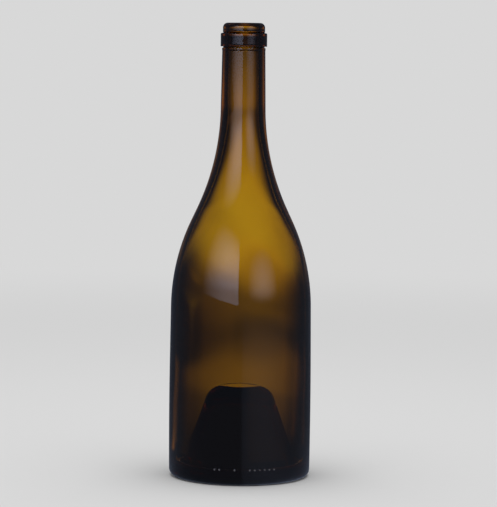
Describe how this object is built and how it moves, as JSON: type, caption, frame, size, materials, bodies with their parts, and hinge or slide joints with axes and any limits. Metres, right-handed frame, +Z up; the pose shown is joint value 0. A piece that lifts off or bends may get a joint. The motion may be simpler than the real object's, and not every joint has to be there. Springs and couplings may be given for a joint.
{
  "type": "wine bottle",
  "caption": "Empty amber glass wine bottle with sloping shoulders, a cork-finish mouth with a string ring, and a deep punt in its base.",
  "frame": {"origin": "middle of the ring that the bottle stands on", "axes": "+Z up along the bottle's axis to the mouth, -Y towards the front, where the row of raised dots is on the heel"},
  "size_m": [0.0906, 0.0906, 0.2893],
  "materials": {
    "amber_glass": "gloss"
  },
  "bodies": {
    "root": {"bottle": "amber_glass"}
  },
  "joints": []
}
